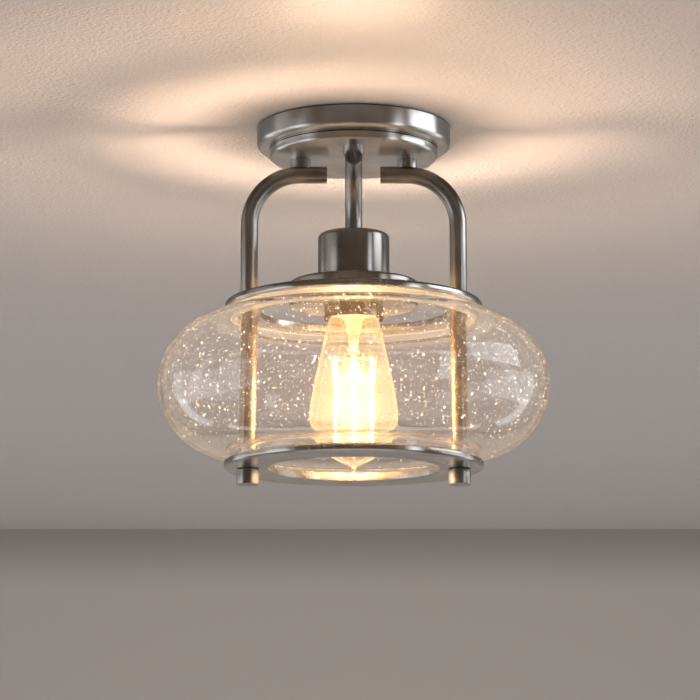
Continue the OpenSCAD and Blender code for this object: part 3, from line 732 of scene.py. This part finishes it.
@dataclass
class Arm:
    """A bent tube: a leg, a quarter bend and a level run with an open end."""

    node: str
    heading: float
    leg_x: float
    drop: float
    bend_r: float = 40 * MM
    run: float = 21 * MM
    wall: float = 1.25 * MM
    lip: float = 0.55 * MM
    sides: int = 56
    bend_steps: int = 28

    def _wall(self, model: Model, r: float) -> tuple[list, list]:
        """Draws one wall of the tube and returns its two end rings."""
        bm = model.bm
        made = bmesh.ops.create_circle(bm, cap_ends=False, segments=self.sides, radius=r)
        ring = list({edge for vert in made["verts"] for edge in vert.link_edges})
        bmesh.ops.translate(bm, vec=(0.0, 0.0, -self.drop), verts=made["verts"])
        first = ring
        ring = self._pull(bm, ring, Vector((0.0, 0.0, self.drop - self.bend_r)))
        made = bmesh.ops.spin(bm, geom=ring, cent=(self.bend_r, 0.0, -self.bend_r),
                              axis=(0.0, 1.0, 0.0), angle=math.pi / 2, steps=self.bend_steps,
                              use_merge=False, use_duplicate=False)
        ring = [part for part in made["geom_last"] if isinstance(part, Edge)]
        return first, self._pull(bm, ring, Vector((self.run, 0.0, 0.0)))

    @staticmethod
    def _pull(bm: bmesh.types.BMesh, ring: list, way: Vector) -> list:
        """Extrudes a ring of edges along a way and returns the new ring."""
        made = bmesh.ops.extrude_edge_only(bm, edges=ring)["geom"]
        verts = [part for part in made if isinstance(part, Vert)]
        bmesh.ops.translate(bm, vec=way, verts=verts)
        return [edge for edge in made if isinstance(edge, Edge)
                and all(vert in verts for vert in edge.verts)]

    def build(self, r: float, height: float) -> None:
        """Makes the arm.

        Args:
            r: the tube's outer radius.
            height: the level of its run.
        """
        model = Model(self.node + "_tube")
        outer = self._wall(model, r)
        inner = self._wall(model, r - self.wall)
        for one, other in zip(outer, inner):
            bmesh.ops.bridge_loops(model.bm, edges=[*one, *other])
        model.tidy()
        ends = (-self.drop, self.bend_r + self.run)

        def on_lip(edge: Edge) -> bool:
            """Tells whether an edge goes round an end face."""
            foot = all(abs(v.co.z - ends[0]) < 1e-6 for v in edge.verts)
            mouth = all(abs(v.co.x - ends[1]) < 1e-6 for v in edge.verts)
            return (foot or mouth) and edge.calc_face_angle(0.0) > 1.0
        model.soften(on_lip, self.lip)
        bmesh.ops.rotate(model.bm, cent=(0, 0, 0), verts=model.bm.verts,
                         matrix=Matrix.Rotation(math.radians(self.heading), 3, "Z"))
        model.move(self.leg_x, 0.0, height)
        model.done("fixture", NICKEL_TUBE.material(), [self.node])


@dataclass
class Arms:
    """The three bent arms and their posts."""

    tube_r: float = 6.75 * MM

    def build(self) -> None:
        """Makes the arms where the CAD tubes are."""
        left = Span.of("arm_left")
        right = Span.of("arm_right")
        stem = Span.of("arm_stem")
        run_z = left.high - self.tube_r
        leg_x = right.x + right.r - self.tube_r
        drop = run_z - left.low
        for arm in (Arm("arm_left", 0.0, -leg_x, drop), Arm("arm_right", 180.0, leg_x, drop),
                    Arm("arm_stem", -90.0, 0.0, run_z - stem.low)):
            arm.build(self.tube_r, run_z)

    def dress(self) -> None:
        """Finishes the posts."""
        paint(NICKEL_TUBE.material(), "post_left", "post_right", "post_front")


# ---- Rings, rods and cap nuts ----

@dataclass
class Rings:
    """The two flat rings that hold the glass, the rods between them and the cap nuts."""

    top_hole_r: float = 74 * MM
    bottom_hole_r: float = 66.7 * MM
    edge: float = 2.4 * MM
    seat_in: float = 92.3 * MM
    seat_out: float = 96.5 * MM
    seat_h: float = 1.5 * MM
    lip: float = 0.5 * MM
    nut_edge: float = 1.0 * MM
    nut_bore_r: float = 4.05 * MM
    nut_bore_depth: float = 9 * MM

    def _ring(self, node: str, hole_r: float, seat_side: float) -> None:
        """Turns one ring; seat_side is -1 where its seat for the glass faces down."""
        span = Span.of(node)
        face, back = (span.high, span.low) if seat_side > 0.0 else (span.low, span.high)
        edge = seat_side * self.edge
        deep = face - seat_side * self.seat_h
        corner_r = span.r - self.edge
        model = Model(node + "_turned")
        start = model.pen(hole_r, back)
        at = model.line(start, (corner_r, back))
        at = model.arc(at, (corner_r, back + edge), -90.0 * seat_side, 8)
        at = model.line(at, (span.r, face - edge))
        at = model.arc(at, (corner_r, face - edge), -90.0 * seat_side, 8)
        at = model.line(at, (self.seat_out, face), (self.seat_out, deep), (self.seat_in, deep),
                        (self.seat_in, face), (hole_r, face))
        model.turn(192, at, start)
        for z in (span.low, span.high):
            model.soften_ring(hole_r, z, self.lip)
        model.done("fixture", NICKEL_RING.material(), [node])

    def _cap_nut(self, node: str, body: str) -> None:
        """Turns a cap nut with eased ends."""
        span = Span.of(node)
        model = Model(node + "_turned")
        bore_z = span.high - self.nut_bore_depth
        model.line(model.pen(0.0, span.low), (span.r, span.low), (span.r, span.high),
                   (self.nut_bore_r, span.high), (self.nut_bore_r, bore_z), (0.0, bore_z))
        model.turn(72)
        model.soften_ring(span.r, span.low, self.nut_edge)
        model.soften_ring(span.r, span.high, self.nut_edge * 0.5)
        model.move(span.x, span.y, 0.0)
        model.done(body, NICKEL_TUBE.material(), [node])

    def build(self) -> None:
        """Makes the rings and the cap nuts."""
        self._ring("top_ring", self.top_hole_r, -1.0)
        self._ring("bottom_ring", self.bottom_hole_r, 1.0)
        for side in ("left", "right"):
            self._cap_nut(f"cap_nut_{side}", f"cap_{side}")

    def dress(self) -> None:
        """Finishes the rods."""
        # the rods get nickel with painted warm shade
        paint(NICKEL_ROD_PAINTED_SHADE.material(), "rod_left", "rod_right")


# ---- Socket group ----

@dataclass
class SocketGroup:
    """The cup, the pan and the sleeve round the lampholder."""

    wall: float = 1 * MM
    cup_edge: float = 4.5 * MM
    pan_edge: float = 2.5 * MM
    cup_hole_r: float = 5.05 * MM
    pan_hole_r: float = 20.25 * MM

    def _cover(self, node: str, edge: float, top_hole: float) -> None:
        """Turns a cover that is open below, with a rounded upper edge."""
        span = Span.of(node)
        model = Model(node + "_spun")
        start = model.pen(span.r, span.low)
        at = model.line(start, (span.r, span.high - edge))
        at = model.arc(at, (span.r - edge, span.high - edge), -90.0, 10)
        at = model.line(at, (top_hole, span.high), (top_hole, span.high - self.wall),
                        (span.r - edge, span.high - self.wall))
        at = model.arc(at, (span.r - edge, span.high - edge), 90.0, 8)
        at = model.line(at, (span.r - self.wall, span.low))
        model.turn(128, at, start)
        model.soften_ring(span.r, span.low, self.wall * 0.3, 2)
        model.done("fixture", NICKEL.material(), [node])

    def build(self) -> None:
        """Makes the cup and the pan."""
        self._cover("socket_cup", self.cup_edge, self.cup_hole_r)
        self._cover("pan_cover", self.pan_edge, self.pan_hole_r)

    def dress(self) -> None:
        """Finishes the plate and the sleeve."""
        paint(NICKEL_RING.material(), "reflector_plate")
        # the sleeve gets nickel with painted shade
        paint(NICKEL_SLEEVE_PAINTED_SHADE.material(), "socket_sleeve")


# ---- Glass shade ----

@dataclass(frozen=True)
class SeedKind:
    """One kind of seed in the glass: its piece's name, how many, and its sizes."""

    name: str
    count: int
    sides: int
    smallest: float
    largest: float


@dataclass
class Shade:
    """The blown shade with its seeds."""

    wall: float = 3.2 * MM
    bulge_r: float = 54.5 * MM
    fillet: float = 1.5 * MM
    neck_r: float = 96 * MM
    seeds: tuple[SeedKind, ...] = (
        SeedKind("glass_seeds", 5200, 6, 0.26 * MM, 0.92 * MM),
        SeedKind("glass_fine_seeds", 8000, 4, 0.17 * MM, 0.30 * MM))
    highest_tilt: float = 0.98
    longest: float = 1.9
    lean: float = 0.4

    def build(self) -> None:
        """Turns the shade from its wall's outline; its faint waves are in the finish."""
        span = Span.of("glass_shade")
        middle = span.middle
        centre_x = span.r - self.bulge_r
        turn_x = self.neck_r + self.fillet
        turn_z = self.bulge_r + self.fillet
        inner_r = self.bulge_r - self.wall
        inside_r = self.neck_r - self.wall
        model = Model("glass_shade_blown")
        low, high = span.low - middle, span.high - middle
        # down the outside
        start = model.pen(self.neck_r, high)
        at = model.line(start, (self.neck_r, turn_z))
        at = model.arc(at, (turn_x, turn_z), -90.0, 6)
        at = model.line(at, (centre_x, self.bulge_r))
        at = model.arc(at, (centre_x, 0.0), 180.0, 72)
        at = model.line(at, (turn_x, -self.bulge_r))
        at = model.arc(at, (turn_x, -turn_z), -90.0, 6)
        # up the inside
        at = model.line(at, (self.neck_r, low), (inside_r, low), (inside_r, -turn_z))
        at = model.arc(at, (turn_x, -turn_z), 90.0, 8)
        at = model.line(at, (centre_x, -inner_r))
        at = model.arc(at, (centre_x, 0.0), -180.0, 66)
        at = model.line(at, (turn_x, inner_r))
        at = model.arc(at, (turn_x, turn_z), 90.0, 8)
        at = model.line(at, (inside_r, high))
        model.turn(224, at, start)
        model.move(0.0, 0.0, middle)
        # the painted neck glow starts at the inner top of the bulge
        finish = replace(SHADE_GLASS, painted_neck_glow_z=middle + inner_r)
        model.done("fixture", finish.material(), ["glass_shade"], 60.0)

    def dress(self) -> None:
        """Sets the seeds, small flattened bubbles, in the wall of the bulge."""
        span = Span.of("glass_shade")
        middle = span.middle
        centre_x = span.r - self.bulge_r
        chance = random.Random(7)
        for kind in self.seeds:
            ball = Model("seed")
            bmesh.ops.create_uvsphere(ball.bm, u_segments=kind.sides, v_segments=4, radius=1.0)
            pattern = ball.mesh()
            model = Model(kind.name)
            for _ in range(kind.count):
                tilt = math.asin(chance.uniform(-self.highest_tilt, self.highest_tilt))
                turn = chance.uniform(0.0, 2 * math.pi)
                size = kind.smallest + (kind.largest - kind.smallest) * chance.random() ** 6
                long = size * chance.uniform(1.0, self.longest)
                depth = self.bulge_r - self.wall / 2 + chance.uniform(-0.2, 0.2) * self.wall
                shape = Matrix.Diagonal((min(size, self.wall * 0.25), size, long, 1.0))
                spin = Matrix.Rotation(chance.gauss(0.0, self.lean), 4, "X")
                place = (Matrix.Translation((0.0, 0.0, middle)) @ Matrix.Rotation(turn, 4, "Z")
                         @ Matrix.Translation((centre_x, 0.0, 0.0))
                         @ Matrix.Rotation(-tilt, 4, "Y")
                         @ Matrix.Translation((depth, 0.0, 0.0)) @ spin @ shape)
                model.stamp(pattern, place)
            bpy.data.meshes.remove(pattern)
            model.done("fixture", Seeds(kind.name).material(), (), 180.0)


# ---- Bulb ----

@dataclass
class Bulb:
    """The tapered clear lamp: envelope, glass mount, and upright filament bars on wires.

    Pulls are the handles, in mm, of the envelope's curves from neck to shoulder, belly, cone and
    tip. The mount is pinched flat between two shares of its height, counted from its top.
    """

    neck_r: float = 12.6 * MM
    shoulder_r: float = 20.2 * MM
    cone_r: float = 17.3 * MM
    tip_r: float = 1.4 * MM
    wall: float = 0.8 * MM
    neck_h: float = 3 * MM
    shoulder_h: float = 8.5 * MM
    belly_h: float = 41 * MM
    cone_h: float = 11.7 * MM
    bar_r: float = 1.1 * MM
    bar_circle_r: float = 16.5 * MM
    bar_count: int = 6
    pulls: tuple[tuple[Point, Point], ...] = (
        ((4.9, -0.4), (-0.6, 2.5)), ((2.3, -14.0), (0.0, 19.0)),
        ((0.0, -14.0), (9.7, 7.8)), ((-7.3, -5.2), (0.6, 4.0)))
    curve_steps: tuple[int, ...] = (10, 26, 20, 12)
    mount_tube_r: float = 6.2 * MM
    mount_stem_r: float = 3.9 * MM
    mount_foot_r: float = 3.6 * MM
    mount_button_r: float = 5.4 * MM
    pinch: float = 0.55
    pinch_top: float = 0.2
    pinch_bottom: float = 0.62

    def _face(self, model: Model, inset: float) -> Vert:
        """Draws one face of the envelope's wall, from the neck's rim to the tip.

        Args:
            model: the mesh in the making.
            inset: how far the face lies inside the outer one.

        Returns:
            The outline's end at the rim.
        """
        span = Span.of("bulb_glass")
        low = span.low
        rim = model.pen(self.neck_r - inset, span.high)
        neck = Vector((self.neck_r - inset, span.high - self.neck_h))
        shoulder = Vector((self.shoulder_r - inset, span.high - self.shoulder_h))
        belly = Vector((span.r - inset, low + self.belly_h))
        cone = Vector((self.cone_r - inset, low + self.cone_h + inset / 2))
        tip = Vector((self.tip_r - inset / 2, low + self.tip_r + inset))
        knots = (neck, shoulder, belly, cone, tip)
        at = model.line(rim, neck)
        for one, other, pair, steps in zip(knots, knots[1:], self.pulls, self.curve_steps):
            away, back = (Vector(pull) * MM for pull in pair)
            at = model.curve(at, (one + away, other + back, other), steps)
        foot = low + inset
        model.curve(at, ((tip.x, foot + (tip.y - foot) * 0.4), (tip.x * 0.6, foot), (0.0, foot)), 5)
        return rim

    def _envelope(self) -> None:
        """Turns the envelope."""
        model = Model("lamp_envelope")
        outside, inside = (self._face(model, inset) for inset in (0.0, self.wall))
        model.turn(112, inside, outside)
        bars = Span.of("filament_bars")
        # painted glow: the envelope gives off light beside the bars and a golden glow at its edges
        finish = LampGlass("lamp_glass", (1.0, 0.975, 0.92), (0.25, 0.18, 0.065),
                           (0.05, 0.032, 0.012), (1.1, 0.70, 0.24), bars.high, bars.low)
        model.done("bulb", finish.material(), ["bulb_glass"], 80.0)

    def _bars(self) -> None:
        """Makes the filament bars with rounded ends."""
        span = Span.of("filament_bars")
        rod = Model("bar")
        bmesh.ops.create_cone(rod.bm, cap_ends=True, segments=20, radius1=self.bar_r,
                              radius2=self.bar_r, depth=span.high - span.low)
        rod.soften(lambda edge: edge.calc_face_angle(0.0) > 1.0, self.bar_r * 0.6)
        pattern = rod.mesh()
        model = Model("lit_bars")
        for number in range(self.bar_count):
            turn = Matrix.Rotation((number + 0.5) * 2 * math.pi / self.bar_count, 4, "Z")
            model.stamp(pattern, turn @ Matrix.Translation((self.bar_circle_r, 0.0, span.middle)))
        bpy.data.meshes.remove(pattern)
        finish = GlowingBar("lit_bar", (1.0, 0.82, 0.5), (1.0, 0.55, 0.18), 20.0, span.high, span.low)
        model.done("bulb", finish.material(), ["filament_bars"])

    def _mount(self) -> None:
        """Turns the glass mount and pinches it flat above its stem."""
        span = Span.of("bulb_stem")
        height = span.high - span.low
        model = Model("lamp_mount")

        def level(share: float) -> float:
            """The height at a share of the mount, from its top."""
            return span.high - height * share
        at = model.line(model.pen(0.0, span.high), (span.r, span.high), (span.r, level(0.04)))
        at = model.curve(at, ((6.4 * MM, level(0.1)), (6.3 * MM, level(0.2)),
                              (self.mount_tube_r, level(0.3))), 8)
        at = model.curve(at, ((self.mount_tube_r, level(0.5)), (self.mount_stem_r, level(0.45)),
                              (self.mount_stem_r, level(0.58))), 8)
        at = model.line(at, (self.mount_foot_r, span.low + 4 * MM))
        at = model.curve(at, ((self.mount_button_r, span.low + 2.6 * MM), (5.2 * MM, span.low),
                              (0.0, span.low)), 8)
        model.turn(48)
        pinched = self.pinch_bottom - self.pinch_top
        for vert in model.bm.verts:
            share = (span.high - vert.co.z) / height - self.pinch_top
            if 0.0 < share < pinched:
                vert.co.y *= 1.0 - self.pinch * math.sin(share / pinched * math.pi)
        model.done("bulb", MOUNT_GLASS.material(), ["bulb_stem"], 80.0)

    def build(self) -> None:
        """Makes envelope, mount and bars."""
        self._envelope()
        self._mount()
        self._bars()

    def dress(self) -> None:
        """Finishes cap and wires."""
        paint(LAMP_METAL.material(), "bulb_cap", "filament_supports")
        paint(SOLDER.material(), "bulb_contact")
        paint(BLACK_GLASS.material(), "bulb_insulator")


# ---- Studio ----

COOL: Colour = (0.90, 0.95, 1.0)
WARM: Colour = (1.0, 0.70, 0.50)
GOLDEN: Colour = (1.0, 0.60, 0.26)
SOFT: Colour = (1.0, 0.92, 0.84)
MIDDLE: Place = (0.0, 0.0, -0.2)


@dataclass(frozen=True)
class SoftBox:
    """One soft box: radiance, place, width and height, aim, colour, and roll in degrees.

    A box that is glossy_only adds no light to matt surfaces; only metal and glass show it.
    """

    name: str
    radiance: float
    place: Place
    size: Point
    aim: Place = MIDDLE
    colour: Colour = COOL
    roll: float = 0.0
    glossy_only: bool = False


SOFT_BOXES = (
    SoftBox("box_left", 0.95, (-1.62, 0.5, -0.48), (1.5, 0.84), (0.0, 0.5, -0.48), roll=-12.0),
    SoftBox("tail_left", 1.2, (-1.5, 1.25, -1.05), (0.3, 1.0), roll=-28.0),
    SoftBox("box_right", 1.05, (1.62, 0.5, -0.48), (1.5, 0.84), (0.0, 0.5, -0.48), roll=12.0),
    SoftBox("tail_right", 1.2, (1.5, 1.25, -1.05), (0.3, 1.0), roll=28.0),
    SoftBox("gleam_left", 0.36, (-1.62, 0.1, 0.36), (0.7, 0.6), glossy_only=True),
    SoftBox("gleam_right", 3.4, (1.62, 0.0, 0.36), (1.2, 0.6), glossy_only=True),
    SoftBox("gleam_above", 0.12, (0.0, -2.0, 1.0), (3.0, 0.8), glossy_only=True),
    SoftBox("gleam_front_left", 1.3, (-1.5, -0.6, -0.5), (0.7, 1.1), glossy_only=True),
    SoftBox("gleam_front_right", 2.4, (1.36, -1.0, -0.3), (0.3, 1.1), glossy_only=True),
    SoftBox("box_below", 0.46, (0.0, -0.3, -2.3), (2.4, 2.0), (0.0, -0.3, 0.0), SOFT),
    SoftBox("box_behind", 1.8, (0.0, 1.5, -1.9), (2.4, 0.5), (0.0, 2.5, -0.2), SOFT))


@dataclass
class Studio:
    """Camera, ceiling, wall, floor, lamps and world."""

    lens: float = 148.5
    camera_place: Place = (0.0, -2.217, -0.5848)
    pitch: float = 10.4
    yaw: float = 0.075
    wall_y: float = 2.66
    floor_z: float = -2.6
    room_size: float = 5.0
    spot_power: float = 10.6
    glow_power: float = 2.55
    glint_power: float = 2.8
    glow_heights: tuple[float, ...] = (-0.190, -0.213, -0.234)
    room_light: Colour = (0.35, 0.345, 0.34)
    glossy_light: Colour = (0.100, 0.071, 0.053)

    def camera(self) -> None:
        """Makes the camera first, at the photograph's viewing angle."""
        data = bpy.data.cameras.new("camera")
        data.lens = self.lens
        data.sensor_width = 36.0
        data.clip_end = 50.0
        made = put("camera", data)
        made.location = self.camera_place
        made.rotation_euler = (math.radians(90 + self.pitch), 0.0, math.radians(self.yaw))
        bpy.context.scene.camera = made

    def _plane(self, name: str, matrix: Matrix, finish: Plaster) -> bpy.types.Object:
        """Makes one plane of the room."""
        model = Model(name)
        bmesh.ops.create_grid(model.bm, x_segments=1, y_segments=1, size=self.room_size,
                              matrix=matrix)
        mesh = model.mesh()
        mesh.materials.append(finish.material())
        made = put(name, mesh)
        made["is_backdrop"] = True
        return made

    def room(self) -> None:
        """Makes the ceiling, the far wall and the floor."""
        down = Matrix.Rotation(math.pi, 4, "X")
        ceiling = Plaster("ceiling_plaster", (0.71, 0.695, 0.715), 4.0e-3)
        # the wall's plaster carries painted shade along its top, under the ceiling
        wall = Plaster("wall_plaster", (0.68, 0.65, 0.63), 2e-4, 0.38)
        floor = Plaster("floor_plaster", (0.66, 0.61, 0.56), 1e-4)
        above = self._plane("ceiling", Matrix.Translation((0, 0, 0.6 * MM)) @ down, ceiling)
        above.visible_glossy = False
        self._plane("wall", Matrix.Translation((0, self.wall_y, 0))
                    @ Matrix.Rotation(math.pi / 2, 4, "X"), wall)
        self._plane("floor", Matrix.Translation((0, 0, self.floor_z)), floor)

    def _lamp(self, name: str, kind: str, energy: float, place: Place, aim: Place,
              colour: Colour, **settings: Any) -> bpy.types.Object:
        """Makes one lamp that points from place to aim."""
        data = bpy.data.lights.new(name, kind)
        data.energy = energy
        data.color = colour
        for key, value in settings.items():
            setattr(data, key, value)
        made = put(name, data)
        made.location = place
        way = Vector(aim) - Vector(place)
        made.rotation_euler = way.to_track_quat("-Z", "Y").to_euler()
        return made

    def _box(self, box: SoftBox) -> None:
        """Makes one soft box; its power follows from its radiance, width and height."""
        width, height = box.size
        made = self._lamp(box.name, "AREA", box.radiance * math.pi * width * height, box.place,
                          box.aim, box.colour, shape="RECTANGLE", size=width, size_y=height)
        if box.roll:
            made.rotation_euler.rotate_axis("Z", math.radians(box.roll))
        if box.glossy_only:
            made.visible_diffuse = False

    def lamps(self) -> None:
        """Makes the soft boxes, the ceiling's spot and the lamp's own light at three bars."""
        for box in SOFT_BOXES:
            self._box(box)
        self._lamp("ceiling_spot", "SPOT", self.spot_power, (0.0, -0.60, -0.5), (0.0, -0.34, 0.0),
                   WARM, spot_size=math.radians(15), spot_blend=1.0, shadow_soft_size=0.03)
        for number, height in enumerate(self.glow_heights):
            turn = math.radians(60 + 120 * number)
            place = (Bulb.bar_circle_r * math.cos(turn), Bulb.bar_circle_r * math.sin(turn), height)
            for name, colour, power in (("glow", WARM, self.glow_power),
                                        ("glint", GOLDEN, self.glint_power)):
                lamp = self._lamp(f"lamp_{name}_{number}", "POINT", power, place, MIDDLE, colour,
                                  shadow_soft_size=0.02)
                lamp.visible_camera = False
                lamp.visible_transmission = False
                lamp.visible_glossy = name == "glint"
                lamp.visible_diffuse = name == "glow"

    def world(self) -> None:
        """Sets an even room light that metal and glass see as a dim, warm studio."""
        world = bpy.data.worlds.new("world")
        world.use_nodes = True
        tree = world.node_tree
        path = tree.nodes.new("ShaderNodeLightPath")
        mix = tree.nodes.new("ShaderNodeMix")
        mix.data_type = "RGBA"
        mix.inputs[6].default_value = (*self.room_light, 1.0)
        mix.inputs[7].default_value = (*self.glossy_light, 1.0)
        tree.links.new(path.outputs["Is Glossy Ray"], mix.inputs[0])
        tree.links.new(mix.outputs[2], tree.nodes["Background"].inputs[0])
        bpy.context.scene.world = world

    def build(self) -> None:
        """Makes the whole studio."""
        self.camera()
        self.room()
        self.lamps()
        self.world()
        bpy.context.scene.view_settings.view_transform = "Standard"


def write_sizes() -> None:
    """Builds the CAD box and the visual model's box as plain lists, and drops them."""
    def plain(box: Iterable) -> list:
        """The box as plain lists."""
        return [list(part) if hasattr(part, "__len__") else part for part in box]
    {"cad": plain(CAD_BOX), "visual": plain(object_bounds())}


def main() -> None:
    """Builds the studio and every sub-assembly in order."""
    logging.basicConfig(level=logging.INFO, format="%(name)s: %(message)s")
    Studio().build()
    for group in (Canopy(), Arms(), Rings(), SocketGroup(), Shade(), Bulb()):
        group.build()
        group.dress()
        LOG.info("%s done", type(group).__name__)
    write_sizes()


if __name__ == "__main__":
    main()
